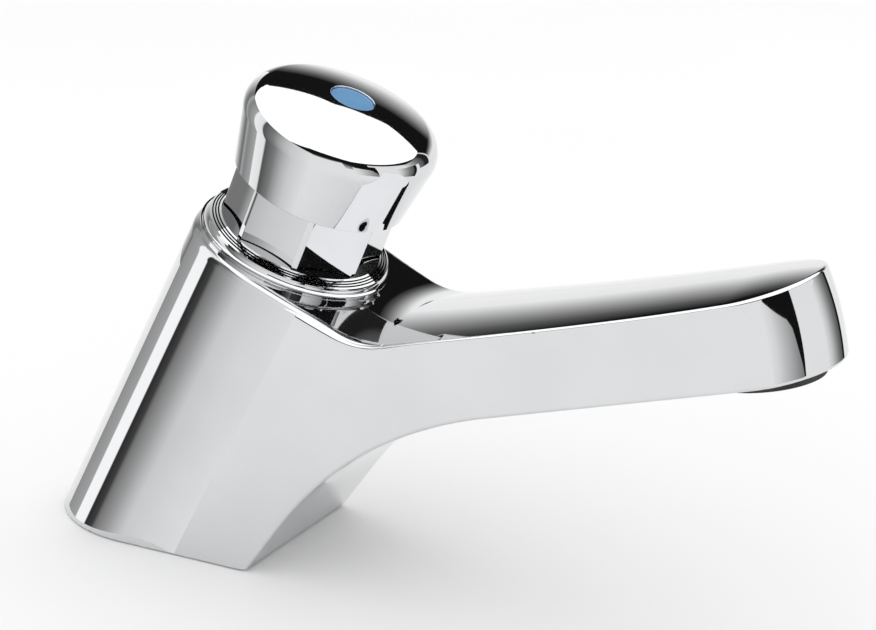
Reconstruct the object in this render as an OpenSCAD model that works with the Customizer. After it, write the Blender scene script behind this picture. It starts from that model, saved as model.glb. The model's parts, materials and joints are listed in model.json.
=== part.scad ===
// Push-operated timed basin tap: leaning column, rising spout and a push cap that closes by itself.
// Millimetres. +Z up, +X along the spout. The origin is on the underside, at the foot of the column's axis.

/* [Column] */
// Radius of the round column at the back of the body
column_r = 23; // [22.5:0.5:25]
// Forward lean of the column, degrees from upright
column_lean = 27.5; // [25:0.5:29]
// Angle at which each flat side closes in toward the nose, degrees
side_taper = 4.3; // [3.6:0.1:4.6]
// From the foot of the column's axis to the front corners of the base
base_front = 34.5; // [33:0.5:37]
// Lean of the front face, degrees from upright
front_lean = 35; // [32:0.5:38]
// Radius that carries the front face into the underside of the spout
throat_r = 85; // [50:1:95]

/* [Spout] */
// Rise of the spout's underside, degrees from level
spout_rise = 16.4; // [15.4:0.1:17]
// Rise of the spout's crest, degrees from level
top_rise = 14.1; // [13.6:0.1:14.8]
// Depth of the spout under its crest, at the root
spout_depth = 22.1; // [21.4:0.1:24]
// From the button's axis forward to the valley, in the middle of the spout
valley_x = 23.7; // [23:0.1:25]
// Radius of the blend in the valley
valley_r = 13; // [6:0.5:14]
// Radius of the bow of the valley, seen along the button's axis
valley_bow = 26.4; // [24:0.1:29]
// Depth by which the valley's blend is let into the faces that it joins
valley_tuck = 0.5; // [0.3:0.05:0.7]
// Radius of the crown across the spout's root
crown_r = 32.4; // [30:0.2:36]
// Radius of the crown across the spout over the nozzle
nose_crown_r = 61; // [54:1:70]
// From the foot of the column's axis to the nozzle's axis, at the underside of the spout
nozzle_x = 141.5; // [130:0.1:160]
// Backward lean of the nozzle's axis, degrees from upright
nozzle_lean = 10; // [8:0.5:14]
// Radius of the round nose, seen from above
nose_r = 16.4; // [16:0.1:17.5]
// From the nozzle's axis to the front of the nose's barrel
nose_reach = 16.5; // [16:0.1:17.5]
// From the nozzle down to the level of the barrel's axis
nose_drop = 5.7; // [4:0.1:7]
// Radius of the nose's barrel curve, seen from the side
barrel_r = 60; // [50:1:80]
// Depth by which the nose's own sides lie inside its round
nose_tuck = 0.1; // [0.05:0.05:0.3]
// Radius of the water way along the spout
waterway_r = 3.4; // [3:0.1:3.6]

/* [Mouth] */
// From the foot of the column's axis to the foot of the button's axis
axis_x = 6.2; // [5:0.1:8]
// Forward lean of the button's axis, degrees from upright
button_lean = 22.5; // [20.5:0.5:24]
// From the base to the cast top of the column, along the button's axis
mouth_w = 74.5; // [73:0.5:80]
// Radius of the turned land round the mouth
land_r = 21.4; // [21:0.1:22]
// Height of the turned land
land_h = 0.6; // [0.4:0.1:1]

/* [Collar and bonnet] */
// Outer radius of the collar ring
collar_r = 21; // [20.6:0.1:21.4]
// Height of the collar ring
collar_h = 1.8; // [1.6:0.1:2.4]
// Height of the collar ring's outer edge, under its cove
collar_edge = 0.55; // [0.4:0.05:0.8]
// Radius of the bonnet's flange
flange_r = 20.1; // [19.6:0.1:20.4]
// Height of the flange's straight rim
flange_rim = 0.45; // [0.3:0.05:0.6]
// Height of the conical top of the flange
flange_cone = 0.95; // [0.7:0.05:1.2]
// Step between the cone and the bonnet's corners
cone_step = 0.2; // [0.1:0.05:0.4]
// Turned lines on the cone
grooves = 3; // [2:1:4]
// Radius of the turned lines
groove_r = 0.16; // [0.1:0.02:0.2]
// Sides of the bonnet
bonnet_sides = 8; // [6, 8, 10]
// Bonnet across flats
bonnet_flats = 33; // [32:0.1:33.4]
// Diameter to which the bonnet's corners are turned down
bonnet_corners = 35.3; // [34.8:0.1:35.6]
// Turn of the bonnet about its axis, where it came tight, degrees
bonnet_turn = 28.9; // [0:0.1:45]
// Radius of the bonnet's thread
thread_r = 15; // [14.6:0.1:15.4]
// Length of the bonnet's thread below the collar ring
thread_len = 14; // [12:0.5:15]
// Length of the bonnet's plain skirt below its thread
skirt_len = 10.9; // [9:0.1:12]
// Wall of the bonnet's skirt
skirt_wall = 2.4; // [2.2:0.1:2.8]
// From the foot of the skirt to its seal
seal_inset = 3; // [2.5:0.1:5]
// Wire of the seals round the skirt and round the seat
seal_d = 1.8; // [1.6:0.1:1.9]

/* [Stem guide] */
// Radius of the stem where it passes the bonnet
stem_r = 4; // [3.8:0.1:4.4]
// Gap round the stem in the bonnet's inner wall
guide_gap = 0.6; // [0.4:0.1:1]
// Bonnet's inner wall over the timing chamber
guide_wall = 2.3; // [1.8:0.1:3]
// Wire of the stem's seal
stem_seal_d = 2.7; // [2.4:0.1:2.9]
// Height of the stem seal's seat
seal_seat = 2.2; // [2:0.1:2.6]
// Step from the seal's gland out to the bush
bush_step = 1.05; // [0.8:0.05:1.4]
// Height of the bush
bush_h = 4.2; // [3.5:0.1:5]
// Thickness of the bush's clip
clip_t = 0.9; // [0.7:0.1:1.2]
// Radial width of the clip
clip_w = 2.8; // [2:0.1:3]
// Depth of the clip's groove
clip_groove = 0.7; // [0.5:0.1:1]
// Bonnet's lip over the clip's groove
clip_cover = 0.5; // [0.4:0.1:1]
// Open angle of the clip, degrees
clip_mouth = 60; // [40:5:90]

/* [Push cap] */
// Travel of the cap
push_travel = 8; // [6:0.5:9]
// Gap left between cap and flange when pushed home
rim_gap = 4.4; // [3:0.1:6]
// Length by which the cap covers the bonnet at rest
cap_overlap = 3.4; // [2.5:0.1:5]
// Gap between the cap's skirt and the bonnet's corners
skirt_clear = 0.5; // [0.4:0.05:0.8]
// Wall of the cap at its rim
cap_wall = 0.75; // [0.7:0.05:1.2]
// Outward flare of the cap's skirt, degrees
cap_flare = 10; // [7:0.5:11]
// Radius of the cap's shoulder
cap_shoulder_r = 5.3; // [4.5:0.1:6]
// Radius of the cap's domed top
cap_dome_r = 61; // [50:1:90]
// From the end of the cap's boss to the top of the dome
cap_crown = 9.1; // [9:0.1:11]
// Radius of the boss inside the cap
boss_r = 7.5; // [7:0.1:9]
// Height of the boss inside the cap
boss_h = 3.8; // [3:0.1:4.2]
// Gap between the boss and the bonnet when pushed home
boss_gap = 0.5; // [0.4:0.1:1]
// Depth of the stem's socket in the boss
socket_h = 2.5; // [2:0.1:2.8]
// Floor between the stem's socket and the screw's head
screw_floor = 2.2; // [1.8:0.1:2.4]
// Radius of the cap screw
screw_r = 2; // [1.7:0.1:2.2]
// Length of the cap screw under its head
screw_len = 12; // [9:0.5:14]
// Radius of the cap screw's head
screw_head_r = 3.5; // [3.2:0.1:3.6]
// Height of the cap screw's head
screw_head_h = 2; // [1.8:0.1:2.2]
// Gap round the screw's head and shank in the cap
screw_clear = 0.25; // [0.15:0.05:0.3]
// Hexagon socket of the cap screw, across flats
socket_flats = 2.5; // [2:0.5:3]
// Depth of the hexagon socket
socket_depth = 1.4; // [1:0.1:1.6]
// Radius of the index disc
disc_r = 4.75; // [4.5:0.05:5.5]
// Thickness of the index disc
disc_t = 1.7; // [1.4:0.1:1.8]
// Gap between the screw's head and the index disc
disc_gap = 0.2; // [0.1:0.05:0.3]

/* [Timing chamber] */
// Radius of the stem's lower end
stem_low_r = 3; // [2.7:0.1:3.2]
// Bore of the timing sleeve, as a radius
sleeve_bore = 9.5; // [9.2:0.1:9.8]
// Wall of the timing sleeve
sleeve_wall = 0.95; // [0.8:0.05:1.1]
// Thickness of the sleeve's flange
sleeve_flange = 1.5; // [1.2:0.1:2]
// Height of the piston
piston_h = 6; // [5:0.1:7]
// Gap round the piston in the sleeve
piston_gap = 0.5; // [0.35:0.05:0.6]
// Land above and below the piston's seal
seal_land = 1.7; // [1.4:0.1:2]
// Radial width of the piston's seal
lip_seal_w = 1.8; // [1.6:0.1:2]
// Straight height of the seal's lip
lip_flat = 0.8; // [0.5:0.1:0.9]
// Radius of the timing jet
jet_r = 1.1; // [0.9:0.1:1.2]
// Radius of the timing jet's bore
jet_bore = 0.35; // [0.25:0.05:0.5]
// Length of the return spring at rest
spring_len = 18; // [17:0.5:20]
// Mean radius of the return spring
spring_r = 7.3; // [7:0.1:7.6]
// Wire diameter of the return spring
spring_wire = 1.3; // [1:0.1:1.3]
// Turns of the return spring
spring_turns = 6; // [4:0.5:6.5]
// Turns that lie flat at each end of the spring
end_turn = 0.75; // [0.5:0.25:1]

/* [Valve] */
// Radius of the seat's port
port_r = 5.5; // [5:0.1:5.8]
// Thickness of the seat's disc
seat_t = 4.5; // [4.2:0.1:5]
// Height of the seat's lip
lip_h = 0.7; // [0.5:0.1:1]
// Width of the seat's lip
lip_w = 1.2; // [1:0.1:1.5]
// Height of the seat's cage
cage_h = 8.5; // [7:0.5:9]
// Wall of the seat's cage
cage_wall = 1.6; // [1.4:0.1:2]
// Windows in the cage
cage_windows = 6; // [4:1:7]
// Width of a window
window_w = 7; // [5:0.5:8]
// Rail left above and below a window
window_rail = 1; // [0.8:0.1:1.5]
// Thickness of the valve's washer
washer_t = 3; // [2.5:0.1:3.5]
// Margin of the washer round the port
washer_margin = 2; // [1.7:0.1:2.4]
// Height by which the washer stands out of its cup
washer_proud = 1.5; // [1.2:0.1:1.8]
// Floor of the valve head
head_base = 1.5; // [1.2:0.1:2]
// Wall of the valve head
head_wall = 1.1; // [0.9:0.1:1.4]
// Height of the valve's nut
nut_h = 3; // [2.5:0.1:3.5]
// Valve's nut across flats
nut_flats = 10; // [9:0.5:12]
// Length by which the stem passes the nut
stem_proud = 0.7; // [0.5:0.1:1]
// Room round the valve head in the inlet chamber
head_room = 1.3; // [1:0.1:1.5]
// Room under the stem when pushed home
chamber_gap = 0.8; // [0.5:0.1:1.5]

/* [Inlet and fixing] */
// Radius of the hose inlet's thread core
inlet_r = 4.5; // [4:0.1:5]
// Depth of the hose inlet's thread
inlet_len = 12.5; // [11:0.5:13]
// From the foot of the column's axis to the hose inlet
inlet_x = 12; // [11:0.5:13]
// Step from the inlet's thread core in to the strainer's seat
seat_step = 0.3; // [0.2:0.1:0.4]
// Width of the step that the strainer's flange rests on
inlet_step = 0.7; // [0.5:0.1:0.9]
// Height of the strainer above the step
strainer_h = 3.5; // [3:0.1:4]
// Wall of the strainer
strainer_wall = 0.5; // [0.4:0.05:0.6]
// Thickness of the strainer's flange
strainer_flange = 1.2; // [1:0.1:1.5]
// Slots in the strainer
strainer_slots = 8; // [6:1:10]
// Width of a slot
strainer_slot = 0.8; // [0.6:0.1:1]
// Radius of the fixing stud's thread core
stud_r = 3.4; // [2.6:0.1:4]
// Depth of the fixing stud's hole
stud_len = 15; // [12:0.5:16]
// From the foot of the column's axis back to the fixing stud
stud_x = 10; // [9:0.5:11]
// From the column's round foot in to the base gasket
gasket_inset = 3; // [2.6:0.1:3.2]
// Width of the base gasket
gasket_w = 2.6; // [2:0.1:2.8]
// Thickness of the base gasket
gasket_t = 2; // [1.5:0.1:2.5]

/* [Aerator] */
// Radius of the aerator's thread in the nose
aerator_r = 12; // [11.6:0.1:12.4]
// Length by which the housing stands out of the nose, at its axis
aerator_proud = 1; // [0.8:0.1:1.4]
// Wall of the housing
housing_wall = 1.6; // [1.3:0.1:2]
// Height of the housing's inner lip
housing_lip = 1.1; // [1:0.1:1.3]
// Width of the housing's inner lip
housing_lip_w = 0.8; // [0.6:0.1:1]
// Notches for the key in the housing's lip
key_slots = 6; // [2:1:8]
// Width of a notch
key_w = 2; // [1.5:0.1:3]
// Depth of a notch, along the axis
key_h = 0.6; // [0.4:0.1:0.7]
// Height of the honeycomb insert
insert_h = 3.4; // [3:0.1:3.8]
// Honeycomb cell across flats
cell_flats = 2.2; // [1.8:0.1:2.4]
// Wall between the cells
cell_wall = 0.5; // [0.4:0.05:0.6]
// Rings of cells round the middle one
cell_rows = 3; // [2:1:3]
// Thickness of the screen
screen_t = 0.6; // [0.4:0.1:0.8]
// Holes in each ring of the screen
screen_holes = 12; // [8:1:14]
// Radius of the screen's holes
screen_hole_r = 0.7; // [0.5:0.1:0.8]
// Height of the flow regulator
regulator_h = 2.2; // [2:0.1:2.6]
// Holes in the flow regulator
regulator_holes = 10; // [6:1:12]
// Radius of the flow regulator's holes
regulator_hole_r = 0.9; // [0.6:0.1:1]
// Depth and half width of the flow regulator's groove
regulator_groove = 1.2; // [1:0.1:1.4]
// Thickness of the washer over the housing
washer_u = 1.2; // [1:0.1:1.5]
// Radius of the cavity over the aerator
cavity_r = 7; // [6.5:0.1:7.5]
// Margin of the washer round the cavity
cavity_margin = 1; // [0.5:0.1:1.5]

/* [Hidden] */
$fn = 96;

// Radial clearance of a close fit and of an easy one, and the lap that makes a cut run clear of a face
fit = 0.05;
slip = 0.1;
lap = 1;
// Depth by which the valley's blend lies under the mouth's plane, so that their faces cross
blend_sink = 0.05;
// Longer than the object in any direction
far = 220;
hexagon = 6;

function dir(a) = [cos(a), sin(a)];
function meet(p, a, q, b) = p + dir(a) * cross(q - p, dir(b)) / cross(dir(a), dir(b));
function across(flats, sides) = flats / cos(180 / sides);
function side_half(p) =
  (column_r - (p[0] * cos(column_lean) - p[1] * sin(column_lean)) * sin(side_taper)) / cos(side_taper);

// Heights along the button's axis, from the base plane: top pieces
mouth_face = mouth_w + land_h;
collar_top = mouth_face + collar_h;
octagon_foot = collar_top + flange_rim + flange_cone;
rim_w = octagon_foot + rim_gap + push_travel;
bonnet_top = rim_w + cap_overlap;
boss_w = bonnet_top + push_travel + boss_gap;
cap_top = boss_w + cap_crown;

// Stem's guide in the bonnet's top, from the top down
bush_top = bonnet_top - clip_cover - clip_t;
bush_foot = bush_top - bush_h;
seal_foot = bush_foot - seal_seat;
chamber_top = seal_foot - guide_wall;
gland_r = stem_r + stem_seal_d + slip;
bush_r = gland_r + bush_step;

// Cartridge from the bonnet's thread down to the seat
thread_foot = collar_top - thread_len;
skirt_foot = thread_foot - skirt_len;
bonnet_seal_w = skirt_foot + seal_inset;
cage_top = skirt_foot - sleeve_flange;
seat_top = cage_top - cage_h;
seat_foot = seat_top - seat_t;
piston_foot = seat_top + spring_len;
piston_top = piston_foot + piston_h;

// Radii of the nested cartridge pieces
sleeve_r = sleeve_bore + sleeve_wall;
bonnet_bore = sleeve_r + fit;
skirt_r = bonnet_bore + skirt_wall;
bore_r = skirt_r + slip;
cage_r = bore_r - slip;
seal_mid = bore_r - fit - seal_d / 2;
seal_root = seal_mid - seal_d / 2 - fit;

// Piston's seal and jet
piston_r = sleeve_bore - piston_gap;
lip_seal_h = piston_h - 2 * seal_land;
lip_seal_in = sleeve_bore - lip_seal_w;
jet_at = (stem_low_r + lip_seal_in) / 2;

// Valve under the seat, from the washer down
washer_top = seat_foot - lip_h;
washer_foot = washer_top - washer_t;
washer_r = port_r + washer_margin;
head_r = washer_r + fit + head_wall;
head_foot = washer_foot - head_base;
nut_foot = head_foot - nut_h;
stem_end = nut_foot - stem_proud;
chamber_r = head_r + head_room;
chamber_foot = stem_end - push_travel - chamber_gap;

// Inlet and gasket
gasket_r = column_r - gasket_inset;
strainer_r = inlet_r - seat_step - slip;
passage_r = inlet_r - seat_step - inlet_step;
strainer_seat = inlet_len + strainer_flange;

// Cap's inside
cap_in_r = bonnet_corners / 2 + skirt_clear;
cap_rim_r = cap_in_r + cap_wall;
cap_ceiling = boss_w + boss_h;
socket_w = boss_w + socket_h;
screw_seat = socket_w + screw_floor;
disc_foot = screw_seat + screw_head_h + disc_gap;

// Shoulder circle of the cap: inside the flare and inside the dome
dome_mid = cap_top - cap_dome_r;
flare_out = [cos(cap_flare), -sin(cap_flare)];
flare_up = [sin(cap_flare), cos(cap_flare)];
shoulder_start = [cap_rim_r, rim_w] - cap_shoulder_r * flare_out;
shoulder_from = shoulder_start - [0, dome_mid];
shoulder_b = shoulder_from * flare_up;
shoulder_c = shoulder_from * shoulder_from - pow(cap_dome_r - cap_shoulder_r, 2);
shoulder = shoulder_start + flare_up * (sqrt(pow(shoulder_b, 2) - shoulder_c) - shoulder_b);
flare_end = shoulder + cap_shoulder_r * flare_out;
dome_edge = (shoulder - [0, dome_mid]) * 2;

// Side view of the body: points are [x, z]
axis_up = 90 - button_lean;
axis_foot = [axis_x, 0];
mouth_mid = axis_foot + dir(axis_up) * mouth_w;
valley = mouth_mid + dir(-button_lean) * valley_x;
under_point = valley + dir(spout_rise - 90) * spout_depth;
throat = meet([base_front, 0], 90 - front_lean, under_point, spout_rise);
nozzle = meet(under_point, spout_rise, [nozzle_x, 0], 90);

// The crown is a cone with its tip behind the column, so it grows flatter toward the nose
crest_end = meet(valley, top_rise, nozzle, 90);
crown_from = valley - [0, crown_r];
crown_run = crest_end - [0, nose_crown_r] - crown_from;
crown_rise = atan2(crown_run[1], crown_run[0]);
crown_tip = meet(valley, top_rise, crown_from, crown_rise);

// The nose is a barrel about a level axis behind it, where its own sides pass outside the column's
barrel_mid = nozzle + [nose_reach - barrel_r, -nose_drop];
nose_flare = atan((side_half(barrel_mid) + 3 * lap - nose_r) / (barrel_r - nose_r));

// Aerator, heights u along the nozzle's axis from the underside of the nose
core_r = aerator_r - housing_wall - fit;
housing_mouth_r = core_r - housing_lip_w;
insert_foot = housing_lip - aerator_proud;
screen_foot = insert_foot + insert_h;
regulator_foot = screen_foot + screen_t;
housing_top = regulator_foot + regulator_h;
pocket_top = housing_top + washer_u;

// The water way runs from the cage's windows to the cavity over the aerator
waterway_from = axis_foot + dir(axis_up) * (seat_top + cage_h / 2) + dir(-button_lean) * bore_r;
waterway_to = nozzle + dir(90 + nozzle_lean) * (pocket_top + waterway_r);
waterway_run = waterway_to - waterway_from;
waterway_rise = atan2(waterway_run[1], waterway_run[0]);
waterway_start = waterway_from - dir(waterway_rise) * bore_r / 2;

module on_axis(w = 0) translate([axis_x, 0, 0]) rotate([0, button_lean, 0]) translate([0, 0, w]) children();
module on_nozzle(u = 0)
  translate([nozzle[0], 0, nozzle[1]]) rotate([0, -nozzle_lean, 0]) translate([0, 0, u]) children();
module tube(r_in, r_out, h) {
  difference() {
    cylinder(r = r_out, h = h);
    translate([0, 0, -lap]) cylinder(r = r_in, h = h + 2 * lap);
  }
}
module o_ring(r_mid, d) rotate_extrude() translate([r_mid, 0]) circle(d = d);
module around(count) for (i = [0:count - 1]) rotate([0, 0, i * 360 / count]) children();

// Concave blend in a corner of the side view: edges leave the corner at angles a and b
module blend(corner, a, b, r) {
  half = (b - a) / 2;
  reach = r / tan(half);
  out = dir((a + b) / 2);
  difference() {
    polygon([corner - out * lap, corner + dir(a) * reach, corner + dir(b) * reach]);
    translate(corner + out * r / sin(half)) circle(r);
  }
}

// Base, front face and underside
module side_view() {
  polygon([
    [-far, 0], [base_front, 0], throat, under_point + dir(spout_rise) * far, [far, far], [-far, far]
  ]);
  blend(throat, 270 - front_lean, 360 + spout_rise, throat_r);
}

// Plan of column and sides, seen along the column
module teardrop() {
  tangent = column_r * [sin(side_taper), cos(side_taper)];
  tip = [far, (column_r - far * sin(side_taper)) / cos(side_taper)];
  circle(column_r);
  polygon([tangent, tip, [tip[0], -tip[1]], [tangent[0], -tangent[1]]]);
}

// Plan of the nose, out from the barrel's axis
module nose_plan() {
  middle = [barrel_r - nose_r, 0];
  front = middle + (nose_r - nose_tuck) * [sin(nose_flare), cos(nose_flare)];
  root = [0, front[1] + front[0] * tan(nose_flare)];
  translate(middle) circle(nose_r);
  polygon([front, root, [root[0], -root[1]], [front[0], -front[1]]]);
}

// The barrel, and all that lies behind its axis
module nose() translate([barrel_mid[0], 0, barrel_mid[1]]) {
  rotate([90, 0, 0]) rotate_extrude() nose_plan();
  translate([-far, -far / 2, -far / 2]) cube(far);
}

// Cast top: the mouth's plane, the crowned spout and the bowed valley between them
module tops() {
  on_axis(mouth_w - far) translate([-far, -far / 2, 0]) cube([2 * far, far, far]);
  translate([crown_tip[0], 0, crown_tip[1]]) rotate([0, 90 - crown_rise, 0])
    cylinder(r1 = 0, r2 = 2 * far * tan(top_rise - crown_rise), h = 2 * far);
  on_axis(mouth_w - blend_sink) translate([valley_x + valley_bow, 0, 0])
    rotate_extrude() blend([valley_bow - valley_tuck, 0], 0, 180 - button_lean - top_rise, valley_r);
}

module casting() {
  intersection() {
    rotate([90, 0, 0]) linear_extrude(far, center = true) side_view();
    rotate([0, column_lean, 0]) linear_extrude(2 * far, center = true) teardrop();
    nose();
    tops();
  }
  on_axis(mouth_w - lap) cylinder(r = land_r, h = land_h + lap);
}

module cartridge_bore() {
  on_axis(thread_foot) cylinder(r = thread_r + fit, h = far);
  on_axis(seat_foot) cylinder(r = bore_r, h = far);
  on_axis(chamber_foot) cylinder(r = chamber_r, h = seat_foot - chamber_foot + lap);
}

module water_ways() {
  translate([waterway_start[0], 0, waterway_start[1]]) rotate([0, 90 - waterway_rise, 0])
    cylinder(r = waterway_r, h = norm(waterway_to - waterway_start));
  on_nozzle(pocket_top - far) cylinder(r = aerator_r + fit, h = far);
  on_nozzle() cylinder(r = cavity_r, h = pocket_top + 2 * waterway_r);
}

module base_holes() {
  chamber_mid = axis_foot + dir(axis_up) * (chamber_foot + chamber_r);
  translate([inlet_x, 0, -lap]) cylinder(r = inlet_r, h = inlet_len + lap);
  translate([inlet_x, 0, 0]) cylinder(r = strainer_r + slip, h = strainer_seat);
  translate([inlet_x, 0, 0]) cylinder(r = passage_r, h = chamber_mid[1]);
  translate([-stud_x, 0, -lap]) cylinder(r = stud_r, h = stud_len + lap);
  translate([0, 0, -lap]) tube(gasket_r - gasket_w - slip, gasket_r + slip, gasket_t + lap);
}

module tap_body() color("silver") difference() {
  casting();
  cartridge_bore();
  water_ways();
  base_holes();
}

module base_gasket() color("dimgray") tube(gasket_r - gasket_w, gasket_r, gasket_t);

module inlet_strainer() color("gainsboro") translate([inlet_x, 0, 0]) {
  thimble_r = passage_r - slip;
  translate([0, 0, inlet_len]) tube(thimble_r - strainer_wall, strainer_r, strainer_flange);
  difference() {
    translate([0, 0, strainer_seat - lap]) cylinder(r = thimble_r, h = strainer_h + lap);
    translate([0, 0, strainer_seat - 2 * lap])
      cylinder(r = thimble_r - strainer_wall, h = strainer_h + 2 * lap - strainer_wall);
    translate([0, 0, strainer_seat + strainer_wall]) around(strainer_slots)
      translate([0, -strainer_slot / 2, 0])
        cube([inlet_r, strainer_slot, strainer_h - 3 * strainer_wall]);
  }
}

// Groove for a seal, about its mid height
module seal_groove() translate([0, 0, -seal_d / 2 - fit]) tube(seal_root, bore_r + lap, seal_d + 2 * fit);

module valve_seat() color("goldenrod") on_axis() difference() {
  union() {
    translate([0, 0, seat_foot]) cylinder(r = cage_r, h = seat_t + cage_h);
    translate([0, 0, seat_foot - lip_h]) cylinder(r = port_r + lip_w, h = lip_h + lap);
  }
  translate([0, 0, washer_top - lap]) cylinder(r = port_r, h = far);
  translate([0, 0, seat_top]) cylinder(r = cage_r - cage_wall, h = cage_h + lap);
  translate([0, 0, seat_top + window_rail]) around(cage_windows)
    translate([0, -window_w / 2, 0]) cube([bore_r + lap, window_w, cage_h - 2 * window_rail]);
  translate([0, 0, seat_foot + seat_t / 2]) seal_groove();
}

module seat_seal() color("black") on_axis(seat_foot + seat_t / 2) o_ring(seal_mid, seal_d);

module timing_sleeve() color("ivory") on_axis() {
  translate([0, 0, cage_top]) tube(sleeve_bore, cage_r - slip, sleeve_flange);
  translate([0, 0, cage_top]) tube(sleeve_bore, sleeve_r, chamber_top - cage_top);
}

module bonnet_flange() {
  rim_top = collar_top + flange_rim;
  foot_r = bonnet_corners / 2 + cone_step;
  step = (flange_r - foot_r) / (grooves + 1);
  rise = flange_cone / (grooves + 1);
  rotate_extrude() difference() {
    polygon([
      [0, collar_top], [flange_r, collar_top], [flange_r, rim_top], [foot_r, octagon_foot], [0, octagon_foot]
    ]);
    for (i = [1:grooves]) translate([flange_r - i * step, rim_top + i * rise]) circle(groove_r);
  }
}
module bonnet_guide() {
  translate([0, 0, chamber_top - lap]) cylinder(r = stem_r + guide_gap, h = far);
  translate([0, 0, seal_foot]) cylinder(r = gland_r, h = far);
  translate([0, 0, bush_foot]) cylinder(r = bush_r + fit, h = far);
  translate([0, 0, bush_top]) cylinder(r = bush_r + clip_groove, h = clip_t);
}
module bonnet() color("silver") on_axis() difference() {
  union() {
    bonnet_flange();
    intersection() {
      translate([0, 0, collar_top]) rotate([0, 0, bonnet_turn])
        cylinder(d = across(bonnet_flats, bonnet_sides), h = bonnet_top - collar_top, $fn = bonnet_sides);
      translate([0, 0, collar_top]) cylinder(d = bonnet_corners, h = bonnet_top - collar_top);
    }
    translate([0, 0, thread_foot + fit]) cylinder(r = thread_r, h = thread_len);
    translate([0, 0, skirt_foot]) cylinder(r = skirt_r, h = collar_top - skirt_foot);
  }
  translate([0, 0, skirt_foot - lap]) cylinder(r = bonnet_bore, h = chamber_top - skirt_foot + lap);
  translate([0, 0, bonnet_seal_w]) seal_groove();
  bonnet_guide();
}

module bonnet_seal() color("black") on_axis(bonnet_seal_w) o_ring(seal_mid, seal_d);

// Turned ring: outer edge, cove and flat top
module collar_ring() color("silver") on_axis(mouth_face) rotate_extrude() {
  cove_r = collar_h - collar_edge;
  difference() {
    translate([thread_r + slip, 0]) square([collar_r - thread_r - slip, collar_h]);
    translate([collar_r, collar_h]) circle(cove_r);
  }
}

module stem_seal() color("black") on_axis(seal_foot + seal_seat / 2) intersection() {
  o_ring(stem_r + fit + stem_seal_d / 2, stem_seal_d);
  translate([0, 0, -seal_seat / 2]) cylinder(r = gland_r, h = seal_seat);
}

module stem_bush() color("ivory") on_axis(bush_foot) tube(stem_r + fit, bush_r, bush_h);

module bush_clip() color("gray") on_axis(bush_top) difference() {
  tube(bush_r + clip_groove - clip_w, bush_r + clip_groove - slip, clip_t);
  translate([0, 0, -lap]) linear_extrude(clip_t + 2 * lap)
    polygon([[0, 0], 2 * bush_r * dir(-clip_mouth / 2), 2 * bush_r * dir(clip_mouth / 2)]);
}

module aerator_housing() color("dimgray") on_nozzle() difference() {
  translate([0, 0, -aerator_proud]) cylinder(r = aerator_r, h = housing_top + aerator_proud);
  translate([0, 0, insert_foot]) cylinder(r = core_r + fit, h = far);
  translate([0, 0, -aerator_proud - lap]) cylinder(r = housing_mouth_r, h = far);
  translate([0, 0, -aerator_proud - lap]) around(key_slots)
    translate([0, -key_w / 2, 0]) cube([core_r, key_w, key_h + lap]);
}

module aerator_gasket() color("black") on_nozzle(housing_top)
  tube(cavity_r + cavity_margin, aerator_r - slip, washer_u);

module aerator_insert() color("whitesmoke") on_nozzle(insert_foot) difference() {
  pitch = cell_flats + cell_wall;
  cylinder(r = core_r, h = insert_h);
  for (i = [-cell_rows:cell_rows]) for (j = [-cell_rows:cell_rows]) if (abs(i + j) <= cell_rows)
    translate([pitch * (i + j / 2), pitch * j * sin(360 / hexagon), -lap]) rotate([0, 0, 180 / hexagon])
      cylinder(d = across(cell_flats, hexagon), h = insert_h + 2 * lap, $fn = hexagon);
}

module aerator_screen() color("lightgray") on_nozzle(screen_foot) difference() {
  cylinder(r = core_r, h = screen_t);
  for (ring = [1:2]) around(screen_holes) translate([core_r * ring / 3, 0, -lap])
    cylinder(r = screen_hole_r, h = screen_t + 2 * lap);
}

module flow_regulator() color("seagreen") on_nozzle(regulator_foot) difference() {
  mid_r = core_r / 2;
  cylinder(r = core_r, h = regulator_h);
  translate([0, 0, regulator_h - regulator_groove])
    tube(mid_r - regulator_groove, mid_r + regulator_groove, regulator_groove + lap);
  around(regulator_holes) translate([mid_r, 0, -lap]) cylinder(r = regulator_hole_r, h = regulator_h);
}

module cap_outline() {
  polygon([[0, rim_w], [cap_rim_r, rim_w], flare_end, shoulder, [0, shoulder[1]]]);
  translate(shoulder) circle(cap_shoulder_r);
  intersection() {
    translate([0, dome_mid]) circle(cap_dome_r);
    polygon([[0, shoulder[1]], shoulder, [0, dome_mid] + dome_edge, [0, dome_mid + dome_edge[1]]]);
  }
}
module cap_hollow() {
  square_foot = rim_w - lap;
  polygon([
    [0, square_foot], [cap_in_r, square_foot], [cap_in_r, cap_ceiling], [boss_r, cap_ceiling],
    [boss_r, boss_w], [0, boss_w]
  ]);
  square([stem_r + fit, socket_w]);
  square([screw_r + screw_clear, far]);
  translate([0, screw_seat]) square([screw_head_r + screw_clear, far]);
  translate([0, disc_foot]) square([disc_r + fit, far]);
}
module push_cap() color("silver") on_axis() rotate_extrude() difference() {
  cap_outline();
  cap_hollow();
}

module index_disc() color("steelblue") on_axis(disc_foot) cylinder(r = disc_r, h = disc_t);

module cap_screw() color("gray") on_axis(screw_seat) difference() {
  union() {
    cylinder(r = screw_head_r, h = screw_head_h);
    translate([0, 0, -screw_len]) cylinder(r = screw_r - fit, h = screw_len);
  }
  translate([0, 0, screw_head_h - socket_depth])
    cylinder(d = across(socket_flats, hexagon), h = socket_depth + lap, $fn = hexagon);
}

module stem() color("darkgray") on_axis() difference() {
  union() {
    translate([0, 0, piston_top]) cylinder(r = stem_r, h = socket_w - piston_top);
    translate([0, 0, stem_end]) cylinder(r = stem_low_r, h = piston_top - stem_end);
  }
  translate([0, 0, screw_seat - screw_len - lap]) cylinder(r = screw_r, h = far);
}

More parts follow.
